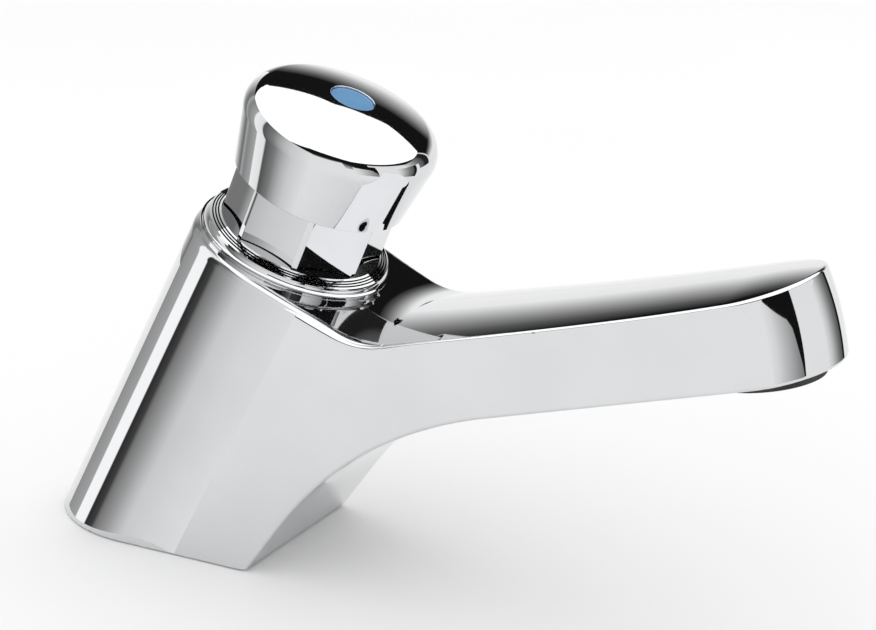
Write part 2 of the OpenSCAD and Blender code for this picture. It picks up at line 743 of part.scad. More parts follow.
module piston() color("ivory") on_axis(piston_foot) difference() {
  cylinder(r = piston_r, h = piston_h);
  translate([0, 0, -lap]) cylinder(r = stem_low_r + fit, h = piston_h + 2 * lap);
  translate([0, 0, seal_land]) tube(lip_seal_in - fit, sleeve_bore + lap, lip_seal_h);
  translate([-jet_at, 0, -lap]) cylinder(r = jet_r + fit, h = piston_h + 2 * lap);
}

module piston_seal() color("black") on_axis(piston_foot + seal_land) rotate_extrude()
  polygon([
    [lip_seal_in, 0], [piston_r, 0], [sleeve_bore - fit, lip_seal_h - lip_flat],
    [sleeve_bore - fit, lip_seal_h], [lip_seal_in, lip_seal_h]
  ]);

module timing_jet() color("goldenrod") on_axis(piston_foot) translate([-jet_at, 0, 0])
  tube(jet_bore, jet_r, piston_h);

module valve_head() color("goldenrod") on_axis(head_foot) difference() {
  cylinder(r = head_r, h = head_base + washer_t - washer_proud);
  translate([0, 0, head_base]) cylinder(r = washer_r + fit, h = washer_t);
  translate([0, 0, -lap]) cylinder(r = stem_low_r + fit, h = far);
}

module valve_washer() color("black") on_axis(washer_foot) tube(stem_low_r + fit, washer_r, washer_t);

module valve_nut() color("gray") on_axis(nut_foot) difference() {
  cylinder(d = across(nut_flats, hexagon), h = nut_h, $fn = hexagon);
  translate([0, 0, -lap]) cylinder(r = stem_low_r + fit, h = nut_h + 2 * lap);
}

// The spring's wire is swept along a helix whose end turns lie flat
wire_sides = 6;
turn_rings = 12;
function flat_ends(t) = min(max((t - end_turn) / (spring_turns - 2 * end_turn), 0), 1);
module return_spring() color("lightslategray") on_axis(seat_top) {
  wire = spring_wire / 2;
  low = wire + fit;
  high = spring_len - wire - fit;
  count = ceil(spring_turns * turn_rings);
  points = [
    for (i = [0:count]) let (t = i / count * spring_turns, mid = low + (high - low) * flat_ends(t))
      for (j = [0:wire_sides - 1]) let (a = j * 360 / wire_sides, r = spring_r + wire * cos(a))
        [r * cos(360 * t), r * sin(360 * t), mid + wire * sin(a)]
  ];
  sides = [
    for (i = [0:count - 1]) for (j = [0:wire_sides - 1])
      let (a = i * wire_sides + j, b = i * wire_sides + (j + 1) % wire_sides)
        each [[a, a + wire_sides, b], [b, a + wire_sides, b + wire_sides]]
  ];
  start = [for (j = [1:wire_sides - 2]) [0, j, j + 1]];
  last = count * wire_sides;
  end = [for (j = [1:wire_sides - 2]) [last, last + j + 1, last + j]];
  polyhedron(points, concat(sides, start, end));
}

tap_body();
base_gasket();
inlet_strainer();
valve_seat();
seat_seal();
timing_sleeve();
bonnet();
bonnet_seal();
collar_ring();
stem_seal();
stem_bush();
bush_clip();
aerator_housing();
aerator_gasket();
aerator_insert();
aerator_screen();
flow_regulator();
push_cap();
index_disc();
cap_screw();
stem();
piston();
piston_seal();
timing_jet();
valve_head();
valve_washer();
valve_nut();
return_spring();
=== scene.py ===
"""Looks of a chrome push tap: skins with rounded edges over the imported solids, finishes, studio and camera."""
import json
from math import atan, atan2, cos, degrees, hypot, pi, radians, sin, sqrt, tan

import bmesh
import bpy
import numpy as np
from mathutils import Matrix, Vector


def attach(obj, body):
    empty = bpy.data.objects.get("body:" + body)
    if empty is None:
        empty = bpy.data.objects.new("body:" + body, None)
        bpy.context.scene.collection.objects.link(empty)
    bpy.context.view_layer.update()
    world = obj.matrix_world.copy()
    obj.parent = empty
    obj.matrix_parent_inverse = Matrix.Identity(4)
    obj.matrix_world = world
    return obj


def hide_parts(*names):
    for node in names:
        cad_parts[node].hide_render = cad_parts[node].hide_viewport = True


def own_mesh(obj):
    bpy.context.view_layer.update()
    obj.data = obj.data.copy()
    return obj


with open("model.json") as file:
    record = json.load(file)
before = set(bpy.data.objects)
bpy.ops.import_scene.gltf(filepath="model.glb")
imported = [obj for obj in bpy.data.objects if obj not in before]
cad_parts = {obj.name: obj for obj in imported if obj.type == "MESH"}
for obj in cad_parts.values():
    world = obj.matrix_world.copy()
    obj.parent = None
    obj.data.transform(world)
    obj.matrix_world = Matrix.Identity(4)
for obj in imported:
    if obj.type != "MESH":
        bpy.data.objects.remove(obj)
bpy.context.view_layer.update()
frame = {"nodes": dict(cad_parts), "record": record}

MM = 0.001
TINY = 1e-9

# Casting, in millimetres and degrees, as in the solids
COLUMN_R, COLUMN_LEAN, SIDE_TAPER = 23, 27.5, 4.3
BASE_FRONT, FRONT_LEAN, THROAT_R = 34.5, 35, 85
SPOUT_RISE, SPOUT_DEPTH = 16.4, 22.1
VALLEY_X, VALLEY_R = 23.7, 16
NOZZLE_X, NOZZLE_LEAN = 141.5, 10
NOSE_R, NOSE_REACH, NOSE_DROP, BARREL_R, NOSE_FLARE = 16.4, 16.5, 5.7, 60, 6.6
AXIS_X, BUTTON_LEAN, MOUTH_W = 6.2, 22.5, 74.5
# Land under the collar: radius, height, and how deep it is rooted in the casting
LAND_R, LAND_H, LAND_ROOT = 21.4, 0.6, 6
# Hand-polished edges of the casting: round the mouth, along the spout, below, at the foot and at the nose
MOUTH_EDGE, SPOUT_EDGE, UNDER_EDGE, BASE_EDGE, NOSE_BLEND = 2.3, 0.45, 0.7, 0.4, 1.0
# Along the spout, where the mouth's soft edge starts to sharpen and where it is sharp
SOFT_X, SHARP_X = 50, 76
# Crest of the spout's top: a point on it, its slope and bow there, and the dip toward the tip
CREST_X, CREST_Z, CREST_SLOPE, CREST_BOW, DIP_X, DIP_R = 100, 69.34, 0.275, 0.00041, 138, 90
# Radius of the crown across the spout at that point, and what it loses for each millimetre toward the tip
CROWN_R, CROWN_LOSS = 79, 0.277
# Bores of the casting, along the button's axis and the nozzle's axis
THREAD_FOOT, SEAT_FOOT, CHAMBER_FOOT = 62.9, 37.5, 19.8
THREAD_BORE, SEAT_BORE, CHAMBER_R = 15.05, 13.0, 9.95
POCKET_R, POCKET_TOP, CAVITY_R, WATERWAY_R = 12.05, 7.5, 7, 3.4
CAGE_MID = 46.25
INLET_X, INLET_R, INLET_LEN = 12, 4.5, 12.5
STRAINER_R, STRAINER_TOP, PASSAGE_R = 4.2, 13.7, 3.5
STUD_X, STUD_R, STUD_LEN = 10, 3.4, 15
GROOVE_IN, GROOVE_OUT, GROOVE_H = 17.3, 20.1, 2
# How far a bore's cutter stands out of the foot, and the sides of a small bore
CUT_PAST, BORE_SIDES = 1, 48
# Room that the skin's grid leaves behind, beside and below, ahead of and above the casting
GRID_BACK, GRID_MARGIN, GRID_AHEAD, GRID_ABOVE = 45, 2, 6, 14

# Turned pieces, radii and heights along the button's axis
MOUTH_FACE = MOUTH_W + LAND_H
COLLAR_R, COLLAR_IN, COLLAR_H, COLLAR_EDGE = 21, 15.1, 1.8, 0.55
COLLAR_TOP = MOUTH_FACE + COLLAR_H
FLANGE_R, FLANGE_RIM, FLANGE_CONE, CONE_STEP = 20.1, 0.45, 0.95, 0.2
FLANGE_EDGE, GROOVES, GROOVE_R = 0.08, 3, 0.16
OCTAGON_FLATS, OCTAGON_CORNERS, OCTAGON_TURN, SECTOR = 33, 35.3, 28.9, 45
OCTAGON_FOOT = COLLAR_TOP + FLANGE_RIM + FLANGE_CONE
BONNET_TOP, RIM_W, CAP_TOP = 94.1, 90.7, 111.7
BONNET_THREAD, THREAD_PITCH, THREAD_DEPTH = 15, 1.5, 0.45
# Thread of the bonnet: its start, the plain length over it, and where its crest lies in each pitch
THREAD_START, THREAD_RELIEF, THREAD_CREST = THREAD_FOOT + 0.05, 1.5, (0.4, 0.6)
SKIRT_R, SKIRT_FOOT, BONNET_BORE = 12.9, 52, 10.5
SEAL_W, SEAL_HALF, SEAL_ROOT = 55, 0.95, 11.1
CHAMBER_TOP, SEAL_FOOT, BUSH_FOOT, BUSH_TOP = 84, 86.3, 88.5, 92.7
GUIDE_R, GLAND_R, BUSH_R, CLIP_R, CLIP_T = 4.6, 6.8, 7.9, 8.55, 0.9
CAP_IN_R, CAP_RIM_R, CAP_FLARE = 18.15, 18.9, 10
SHOULDER_R, DOME_R = 5.3, 61
BOSS_W, BOSS_R, CEILING, SOCKET_R, SOCKET_W = 102.6, 7.5, 106.4, 4.05, 105.1
SCREW_HOLE, HEAD_HOLE, SCREW_SEAT = 2.25, 3.75, 107.3
DISC_R, DISC_POCKET, DISC_FOOT, DISC_TOP = 4.75, 4.8, 109.5, 111.2

# Return spring: foot, length at rest, mean radius, wire, turns, flat turns at each end, gap at each end
SPRING_FOOT, SPRING_LEN, SPRING_R, WIRE, TURNS, END_TURN, SPRING_GAP = 42, 18, 7.3, 1.3, 6, 0.75, 0.05

# Camera, in millimetres and degrees
EYE = (258.751, -346.400, 195.309)
TURN, RISE, ROLL = 28.60, 18.99, 1.17
FOCAL_PX, FRAME_W, SENSOR = 2000, 876, 36


# Side view of the casting
def unit(angle):
    """Direction at an angle, in degrees."""
    return np.array([cos(radians(angle)), sin(radians(angle))])


def meet(p, a, q, b):
    """Point where a line from p at angle a meets a line from q at angle b."""
    u, v, d = unit(a), unit(b), q - p
    return p + u * (d[0] * v[1] - d[1] * v[0]) / (u[0] * v[1] - u[1] * v[0])


AXIS_FOOT = np.array([AXIS_X, 0.0])
MOUTH_MID = AXIS_FOOT + unit(90 - BUTTON_LEAN) * MOUTH_W
VALLEY = MOUTH_MID + unit(-BUTTON_LEAN) * VALLEY_X
UNDER = VALLEY + unit(SPOUT_RISE - 90) * SPOUT_DEPTH
FRONT = np.array([BASE_FRONT, 0.0])
NOZZLE = meet(UNDER, SPOUT_RISE, np.array([NOZZLE_X, 0.0]), 90)
BARREL = NOZZLE + np.array([NOSE_REACH - BARREL_R, -NOSE_DROP])


def plane(x, z, point, angle, sign):
    """Distance from a plane seen edge-on, through a point at an angle; sign says which side is out."""
    n = unit(angle + 90) * sign
    return (x - point[0]) * n[0] + (z - point[1]) * n[1]


def round_out(a, b, r):
    """Inside of both, with a convex edge of radius r."""
    both = np.hypot(np.maximum(a + r, 0), np.maximum(b + r, 0)) - r
    return np.where((a > -r) & (b > -r), both, np.maximum(a, b))


def round_in(a, b, opening, r):
    """Inside of either, with a hollow of radius r; the faces stand at an outside angle of opening degrees."""
    half = radians(opening / 2)
    width = 2 * r * cos(half) ** 2 / sin(half)
    return np.minimum(a, b) - np.maximum(width - np.abs(a - b), 0) ** 2 / (4 * width)


def plan(x, y, z):
    """Column with its flat sides, and the round nose."""
    v = np.abs(y)
    lean, taper = radians(COLUMN_LEAN), radians(SIDE_TAPER)
    u = x * cos(lean) - z * sin(lean)
    side = u * sin(taper) + v * cos(taper) - COLUMN_R
    column = np.where(u * cos(taper) - v * sin(taper) < 0, np.hypot(u, v) - COLUMN_R, side)
    flare, ahead = radians(NOSE_FLARE), x - BARREL[0]
    u = np.where(ahead > 0, np.hypot(ahead, z - BARREL[1]), ahead) - (BARREL_R - NOSE_R)
    side = u * sin(flare) + v * cos(flare) - NOSE_R
    nose = np.where(u * cos(flare) - v * sin(flare) > 0, np.hypot(u, v) - NOSE_R, side)
    return np.maximum(column, nose) + np.maximum(NOSE_BLEND - np.abs(column - nose), 0) ** 2 / (4 * NOSE_BLEND)


def tops(x, y, z):
    """Mouth plane and crowned top of the spout, blended in the valley."""
    mouth = plane(x, z, MOUTH_MID, -BUTTON_LEAN, 1)
    ahead = x - CREST_X
    dip = np.maximum(x - DIP_X, 0) ** 2 / (2 * DIP_R)
    crest = CREST_Z + CREST_SLOPE * ahead + CREST_BOW * ahead ** 2 - dip
    rise = atan(CREST_SLOPE)
    crown = (z - crest + y ** 2 / (2 * (CROWN_R - CROWN_LOSS * ahead))) * cos(rise)
    return round_in(mouth, crown, 180 - BUTTON_LEAN - degrees(rise), VALLEY_R)


def unders(x, z):
    """Front of the column and underside of the spout, blended in the throat."""
    front = plane(x, z, FRONT, 90 - FRONT_LEAN, -1)
    under = plane(x, z, UNDER, SPOUT_RISE, -1)
    return round_in(front, under, 90 + FRONT_LEAN + SPOUT_RISE, THROAT_R)


def edges(p):
    """Faces that meet in the casting's edges, in pairs, with the radius of each edge: top, underside and foot."""
    x, y, z = p[..., 0], p[..., 1], p[..., 2]
    soft = np.clip((SHARP_X - x) / (SHARP_X - SOFT_X), 0, 1)
    top_edge = SPOUT_EDGE + (MOUTH_EDGE - SPOUT_EDGE) * soft * soft * (3 - 2 * soft)
    top = (plan(x, y, z), tops(x, y, z), top_edge)
    under = (round_out(*top), unders(x, z), UNDER_EDGE)
    foot = (round_out(*under), -z, BASE_EDGE)
    return top, under, foot


def casting(p):
    """Signed distance to the casting's skin, in millimetres."""
    return round_out(*edges(p)[-1])


def slope(f, p, step=1e-3):
    """Slopes of f along the three axes."""
    return np.stack([f(p + e) - f(p - e) for e in np.eye(3) * step], -1) / (2 * step)


def gradient(f, p):
    g = slope(f, p)
    return g / np.maximum(np.linalg.norm(g, axis=-1, keepdims=True), TINY)


def settle(f, p, rounds=5):
    """Moves points onto the zero level of f."""
    for _ in range(rounds):
        p = p - gradient(f, p) * f(p)[..., None]
    return p


def settle_edge(p, which, depths, rounds=6):
    """Moves points to where the two faces of an edge lie at given depths, in edge radii."""
    for _ in range(rounds):
        a, b, r = edges(p)[which]
        ga, gb = (slope(lambda q, k=k: edges(q)[which][k], p) for k in (0, 1))
        fa, fb = a + r * depths[0], b + r * depths[1]
        aa, ab, bb = (ga * ga).sum(-1), (ga * gb).sum(-1), (gb * gb).sum(-1)
        whole = aa * bb - ab * ab
        p = p - ga * ((fa * bb - fb * ab) / whole)[:, None] - gb * ((fb * aa - fa * ab) / whole)[:, None]
    return p


# Depths of the two faces at the middle of a rounded edge, and at the row beside it on either face
MIDDLE, BESIDE = (1 - sqrt(0.5), 1 - sqrt(0.5)), ((0, 1.2), (1.2, 0))
# How far from the skin a point of such a row may lie
ON_SKIN = 0.02


def on_edges(points, cell, near=1.5):
    """Which narrow edge runs through the cell round each point: 0, 1 or 2, or -1 for none."""
    corners = [np.array([i, j, k]) * cell / 2 for i in (-1, 1) for j in (-1, 1) for k in (-1, 1)]
    ahead = np.array([[a > b for a, b, _ in edges(points + c)] for c in corners])
    mixed = ahead.any(0) & ~ahead.all(0)
    found = np.full(len(points), -1)
    for which in (2, 1, 0):
        ids = np.nonzero(mixed[which])[0]
        moved = settle_edge(points[ids], which, MIDDLE)
        narrow = edges(moved)[which][2] < cell
        found[ids[narrow & (np.linalg.norm(moved - points[ids], axis=1) < near * cell)]] = which
    return found


def beside_edges(points, pairs, found):
    """Sets the row of points on either side of each edge at an even distance from it."""
    for which in (0, 1, 2):
        row = np.unique(pairs[(found[pairs[:, 0]] == which) & (found[pairs[:, 1]] < 0), 1])
        a, b, _ = edges(points[row])[which]
        for side, depths in zip((a > b, a <= b), BESIDE):
            moved = settle_edge(points[row[side]], which, depths)
            kept = np.abs(casting(moved)) < ON_SKIN
            points[row[side][kept]] = moved[kept]
    return points


def net(f, low, high, cell):
    """Quad skin of the zero level of f, on a grid of cells."""
    axes = [np.arange(a, b + cell, cell) for a, b in zip(low, high)]
    shape = [len(a) for a in axes]
    inside = np.empty(shape, bool)
    for i, x in enumerate(axes[0]):
        gy, gz = np.meshgrid(axes[1], axes[2], indexing="ij")
        inside[i] = f(np.stack([np.full_like(gy, x), gy, gz], -1)) < 0
    cells = [s - 1 for s in shape]
    count = np.zeros(cells, int)
    for i in (0, 1):
        for j in (0, 1):
            for k in (0, 1):
                count += inside[i:i + cells[0], j:j + cells[1], k:k + cells[2]]
    index = np.full(cells, -1)
    active = (count > 0) & (count < 8)
    index[active] = np.arange(active.sum())
    at = np.argwhere(active)
    points = np.stack([axes[k][at[:, k]] + cell / 2 for k in range(3)], -1)
    quads = [walls(inside, index, axis) for axis in range(3)]
    return points, np.concatenate(quads)


def walls(inside, index, axis):
    """Quads across the grid edges that run along one axis and cross the skin."""
    flat = np.moveaxis(inside, axis, 0)
    cells = np.moveaxis(index, axis, 0)
    cross = flat[1:] != flat[:-1]
    i, j, k = np.nonzero(cross[:, 1:-1, 1:-1])
    j, k = j + 1, k + 1
    quad = np.stack([cells[i, j - 1, k - 1], cells[i, j, k - 1], cells[i, j, k], cells[i, j - 1, k]], -1)
    leaves = flat[i, j, k]
    turn = leaves if axis != 1 else ~leaves
    return np.where(turn[:, None], quad, quad[:, ::-1])


def relax(f, points, quads, found, rounds=4):
    """Evens out the net along the skin; points on an edge stay on it."""
    around = ((0, 1), (1, 2), (2, 3), (3, 0), (1, 0), (2, 1), (3, 2), (0, 3))
    across = ((0, 2), (1, 3), (2, 0), (3, 1))
    pairs = np.concatenate([quads[:, ends] for ends in around])
    near = np.concatenate([pairs] + [quads[:, ends] for ends in across])
    pulls = pairs[(found[pairs[:, 0]] < 0) | (found[pairs[:, 0]] == found[pairs[:, 1]])]
    for _ in range(rounds):
        total, count = np.zeros_like(points), np.zeros(len(points))
        np.add.at(total, pulls[:, 0], points[pulls[:, 1]])
        np.add.at(count, pulls[:, 0], 1)
        mean = np.where(count[:, None] > 0, total / np.maximum(count, 1)[:, None], points)
        points = np.where(found[:, None] < 0, settle(f, mean, 2), mean)
        for which in (0, 1, 2):
            points[found == which] = settle_edge(points[found == which], which, MIDDLE, 3)
        points = beside_edges(points, near, found)
    return points


def new_object(name, mesh):
    obj = bpy.data.objects.new(name, mesh)
    bpy.context.scene.collection.objects.link(obj)
    return obj


def mesh_of(name, points, faces):
    mesh = bpy.data.meshes.new(name)
    mesh.from_pydata([tuple(map(float, p)) for p in points], [], [tuple(map(int, q)) for q in faces])
    mesh.update()
    return mesh


def tilted(origin, lean):
    """Frame with its Z axis leaning toward +X, in metres."""
    return Matrix.Translation(Vector(origin) * MM) @ Matrix.Rotation(radians(lean), 4, "Y")


ON_AXIS = tilted((AXIS_X, 0, 0), BUTTON_LEAN)
ON_NOZZLE = tilted((NOZZLE[0], 0, NOZZLE[1]), -NOZZLE_LEAN)
LEVEL = tilted((0, 0, 0), 0)


def drum(place, r, low, high, r_in=0, x=0, sides=96):
    """Plain cutter, a drum or a ring, that is removed once used."""
    bm = bmesh.new()
    turn = [(cos(2 * pi * i / sides), sin(2 * pi * i / sides)) for i in range(sides)]
    rings = [(r, low), (r, high)] + ([(r_in, high), (r_in, low)] if r_in else [])
    rows = [[bm.verts.new((x + a * q, b * q, w)) for a, b in turn] for q, w in rings]
    spans = list(zip(rows, rows[1:])) + ([(rows[-1], rows[0])] if r_in else [])
    for lower, upper in spans:
        for i in range(sides):
            j = (i + 1) % sides
            bm.faces.new((lower[i], lower[j], upper[j], upper[i]))
    if not r_in:
        bm.faces.new(rows[0][::-1])
        bm.faces.new(rows[1])
    bmesh.ops.transform(bm, matrix=place @ Matrix.Scale(MM, 4), verts=bm.verts)
    mesh = bpy.data.meshes.new("cutter")
    bm.to_mesh(mesh)
    bm.free()
    return new_object("cutter", mesh)


def combine(obj, other, operation):
    """Joins or cuts an object with another, which is then removed."""
    modifier = obj.modifiers.new("cut", "BOOLEAN")
    modifier.solver, modifier.operation, modifier.object = "MANIFOLD", operation, other
    bpy.context.view_layer.objects.active = obj
    bpy.ops.object.modifier_apply(modifier=modifier.name)
    bpy.data.meshes.remove(other.data)


def body_cutters():
    """Bores of the casting: cartridge, water way, nozzle, inlet, stud hole and the gasket's groove."""
    start = AXIS_FOOT + unit(90 - BUTTON_LEAN) * CAGE_MID + unit(-BUTTON_LEAN) * SEAT_BORE
    end = NOZZLE + unit(90 + NOZZLE_LEAN) * (POCKET_TOP + WATERWAY_R)
    run = end - start
    along = tilted((start[0], 0, start[1]), 90 - degrees(atan2(run[1], run[0])))
    chamber_mid = (CHAMBER_FOOT + CHAMBER_R) * cos(radians(BUTTON_LEAN))
    yield drum(ON_AXIS, THREAD_BORE, THREAD_FOOT, 2 * MOUTH_W)
    yield drum(ON_AXIS, SEAT_BORE, SEAT_FOOT, MOUTH_W)
    yield drum(ON_AXIS, CHAMBER_R, CHAMBER_FOOT, MOUTH_W)
    yield drum(along, WATERWAY_R, -SEAT_BORE / 2, float(np.linalg.norm(run)), sides=BORE_SIDES)
    yield drum(ON_NOZZLE, POCKET_R, -2 * POCKET_TOP, POCKET_TOP)
    yield drum(ON_NOZZLE, CAVITY_R, -POCKET_TOP, POCKET_TOP + 2 * WATERWAY_R)
    for x, r, top in ((INLET_X, INLET_R, INLET_LEN), (INLET_X, STRAINER_R, STRAINER_TOP),
                      (INLET_X, PASSAGE_R, chamber_mid), (-STUD_X, STUD_R, STUD_LEN)):
        yield drum(LEVEL, r, -CUT_PAST, top, x=x, sides=BORE_SIDES)
    yield drum(LEVEL, GROOVE_OUT, -CUT_PAST, GROOVE_H, r_in=GROOVE_IN)


def dress_normals(obj, f, near=0.05, aligned=0.6, crease=35):
    """Exact normals on the skin; walls that were cut keep their own."""
    mesh = obj.data
    mesh.set_sharp_from_angle(angle=radians(crease))
    points = np.empty(len(mesh.vertices) * 3)
    mesh.vertices.foreach_get("co", points)
    points = points.reshape(-1, 3) / MM
    outward = gradient(f, points)
    on_skin = np.abs(f(points)) < near
    normals = np.zeros((len(mesh.loops), 3))
    for face in mesh.polygons:
        ids = list(face.vertices)
        if on_skin[ids].all() and outward[ids].mean(0) @ np.array(face.normal) > aligned:
            normals[face.loop_start:face.loop_start + face.loop_total] = outward[ids]
    mesh.normals_split_custom_set(normals.tolist())


def make_body(cell=0.8):
    low = (-GRID_BACK, -COLUMN_R - GRID_MARGIN, -GRID_MARGIN)
    high = (NOZZLE_X + NOSE_R + GRID_AHEAD, COLUMN_R + GRID_MARGIN, MOUTH_W + GRID_ABOVE)
    points, quads = net(casting, low, high, cell)
    found = on_edges(points, cell)
    points = relax(casting, settle(casting, points), quads, found)
    body = new_object("body_skin", mesh_of("body_skin", points * MM, quads))
    body.data.polygons.foreach_set("use_smooth", np.ones(len(body.data.polygons), bool))
    combine(body, drum(ON_AXIS, LAND_R, MOUTH_W - LAND_ROOT, MOUTH_FACE, sides=160), "UNION")
    for cutter in body_cutters():
        combine(body, cutter, "DIFFERENCE")
    dress_normals(body, casting)
    return body


# Turned pieces: a profile is a chain of runs of (radius, height, normal out, normal up), solid on its left
def straight(p, q, steps=1):
    """Straight run from p to q."""
    out, up = q[1] - p[1], p[0] - q[0]
    size = hypot(out, up)
    rows = [(p[0] + (q[0] - p[0]) * i / steps, p[1] + (q[1] - p[1]) * i / steps) for i in range(steps + 1)]
    return [(r, w, out / size, up / size) for r, w in rows]


def through(points):
    """Straight runs from each point to the next."""
    return [straight(p, q) for p, q in zip(points, points[1:])]


def curve(centre, r, start, end, steps, hollow=False):
    """Round run between two angles; a hollow one has its centre outside the solid."""
    rows, sign = [], -1 if hollow else 1
    for i in range(steps + 1):
        a = radians(start + (end - start) * i / steps)
        rows.append((centre[0] + r * cos(a), centre[1] + r * sin(a), sign * cos(a), sign * sin(a)))
    return rows


def octagon_section(angle):
    """Radius and outward direction of the turned octagon at an angle, degrees."""
    local = (angle - OCTAGON_TURN) % SECTOR - SECTOR / 2
    flat = OCTAGON_FLATS / 2 / cos(radians(local))
    corner = OCTAGON_CORNERS / 2
    return (flat, angle - local) if flat < corner else (corner, angle)


def octagon_angles(flat_steps=16, corner_steps=4, soft=0.35):
    """Angles round the axis, with close pairs at each edge of the octagon."""
    half = degrees(np.arccos(OCTAGON_FLATS / OCTAGON_CORNERS))
    angles = []
    for k in range(8):
        middle = OCTAGON_TURN + SECTOR / 2 + SECTOR * k
        angles += list(np.linspace(middle - half + soft, middle + half - soft, flat_steps))
        angles += list(np.linspace(middle + half + soft / 2, middle + SECTOR - half - soft / 2, corner_steps))
    return angles


def profile_points(runs, octagon):
    """Points of a profile, (radius, height, on the octagon), and each run's point numbers; runs share their ends."""
    points, rings, start = [], [], runs[0][0]
    for index, run in enumerate(runs):
        ids = []
        for k, (r, w, _, _) in enumerate(run):
            last = k == len(run) - 1
            if k == 0 and index > 0:
                ids.append(rings[-1][-1])
            elif last and index == len(runs) - 1 and hypot(r - start[0], w - start[1]) < TINY:
                ids.append(rings[0][0])
            else:
                ids.append(len(points))
                points.append((r, w, index in octagon or (last and index + 1 in octagon)))
        rings.append(ids)
    return points, rings


def sweep_points(points, angles):
    """Points swept round the axis, one only where the radius is nothing, and the number of each row's first."""
    solid, first = [], []
    for r, w, eight in points:
        first.append(len(solid))
        for angle in angles if r > TINY else angles[:1]:
            radius = octagon_section(angle)[0] if eight else r
            solid.append((radius * cos(radians(angle)), radius * sin(radians(angle)), w))
    return np.array(solid), first


def turned(name, runs, angles, octagon=()):
    """Mesh of runs swept round the button's axis; runs whose index is in octagon follow the octagon."""
    points, rings = profile_points(runs, octagon)
    solid, first = sweep_points(points, angles)
    faces, loops = [], []
    for index, (run, ids) in enumerate(zip(runs, rings)):
        facing = [octagon_section(a)[1] if index in octagon else a for a in angles]
        for k, (a, b) in enumerate(zip(ids, ids[1:])):
            on_axis = [points[q][0] < TINY for q in (a, b)]
            for i in range(len(angles)):
                j = (i + 1) % len(angles)
                corners = [(0, i), (0, j), (1, j), (1, i)]
                if any(on_axis):
                    del corners[1 if on_axis[0] else 2]
                faces.append([first[(a, b)[end]] + (0 if on_axis[end] else t) for end, t in corners])
                for end, t in corners:
                    _, _, out, up = run[k + end]
                    loops.append((out * cos(radians(facing[t])), out * sin(radians(facing[t])), up))
    place = np.array(ON_AXIS.to_3x3())
    mesh = mesh_of(name, solid @ place.T * MM + np.array(ON_AXIS.translation), faces)
    mesh.shade_smooth()
    mesh.normals_split_custom_set((np.array(loops) @ place.T).tolist())
    return new_object(name, mesh)


ROUND = [360 * i / 192 for i in range(192)]


def make_collar():
    cove = COLLAR_H - COLLAR_EDGE
    foot, edge = MOUTH_FACE, 0.12
    runs = [
        straight((COLLAR_IN, foot), (COLLAR_R - edge, foot)),
        curve((COLLAR_R - edge, foot + edge), edge, -90, 0, 4),
        straight((COLLAR_R, foot + edge), (COLLAR_R, foot + COLLAR_EDGE)),
        curve((COLLAR_R, foot + COLLAR_H), cove, 270, 180, 14, hollow=True),
        straight((COLLAR_R - cove, foot + COLLAR_H), (COLLAR_IN, foot + COLLAR_H)),
        straight((COLLAR_IN, foot + COLLAR_H), (COLLAR_IN, foot)),
    ]
    return turned("collar_trim", runs, ROUND)


def flange_cone():
    """Cone of the flange with its turned lines."""
    rim, foot_r = COLLAR_TOP + FLANGE_RIM, OCTAGON_CORNERS / 2 + CONE_STEP
    start, end = np.array([FLANGE_R, rim]), np.array([foot_r, OCTAGON_FOOT])
    lean = degrees(atan2(end[1] - start[1], end[0] - start[0]))
    way = unit(lean)
    runs, last = [], start
    for i in range(1, GROOVES + 1):
        middle = start + (end - start) * i / (GROOVES + 1)
        runs.append(straight(last, middle - way * GROOVE_R))
        runs.append(curve(middle, GROOVE_R, lean + 180, lean + 360, 6, hollow=True))
        last = middle + way * GROOVE_R
    return runs + [straight(last, end)]


def bonnet_thread():
    """Thread crests of the spigot, as closed rings, from the foot up."""
    w, root = THREAD_START, BONNET_THREAD - THREAD_DEPTH
    points = [(root, w)]
    while w + THREAD_PITCH < COLLAR_TOP - THREAD_RELIEF:
        points += [(BONNET_THREAD, w + THREAD_PITCH * share) for share in THREAD_CREST]
        w += THREAD_PITCH
        points.append((root, w))
    return through(points + [(root, COLLAR_TOP)])


def make_bonnet():
    foot_r, root = OCTAGON_CORNERS / 2 + CONE_STEP, BONNET_THREAD - THREAD_DEPTH
    low = [(BONNET_BORE, SKIRT_FOOT), (SKIRT_R, SKIRT_FOOT), (SKIRT_R, SEAL_W - SEAL_HALF),
           (SEAL_ROOT, SEAL_W - SEAL_HALF), (SEAL_ROOT, SEAL_W + SEAL_HALF), (SKIRT_R, SEAL_W + SEAL_HALF),
           (SKIRT_R, THREAD_START), (root, THREAD_START)]
    rim = [(root, COLLAR_TOP), (FLANGE_R - FLANGE_EDGE, COLLAR_TOP), (FLANGE_R, COLLAR_TOP + FLANGE_EDGE),
           (FLANGE_R, COLLAR_TOP + FLANGE_RIM)]
    corner, top_edge = OCTAGON_CORNERS / 2, 0.4
    inner = [(corner - top_edge, BONNET_TOP), (BUSH_R, BONNET_TOP), (BUSH_R, BUSH_TOP + CLIP_T),
             (CLIP_R, BUSH_TOP + CLIP_T), (CLIP_R, BUSH_TOP), (BUSH_R, BUSH_TOP), (BUSH_R, BUSH_FOOT),
             (GLAND_R, BUSH_FOOT), (GLAND_R, SEAL_FOOT), (GUIDE_R, SEAL_FOOT), (GUIDE_R, CHAMBER_TOP),
             (BONNET_BORE, CHAMBER_TOP), (BONNET_BORE, SKIRT_FOOT)]
    runs = through(low) + bonnet_thread() + through(rim) + flange_cone()
    runs.append(straight((foot_r, OCTAGON_FOOT), (corner, OCTAGON_FOOT)))
    eight = len(runs)
    runs += through([(corner, OCTAGON_FOOT), (corner, BONNET_TOP - top_edge)] + inner)
    return turned("bonnet_skin", runs, octagon_angles(), octagon=(eight,))


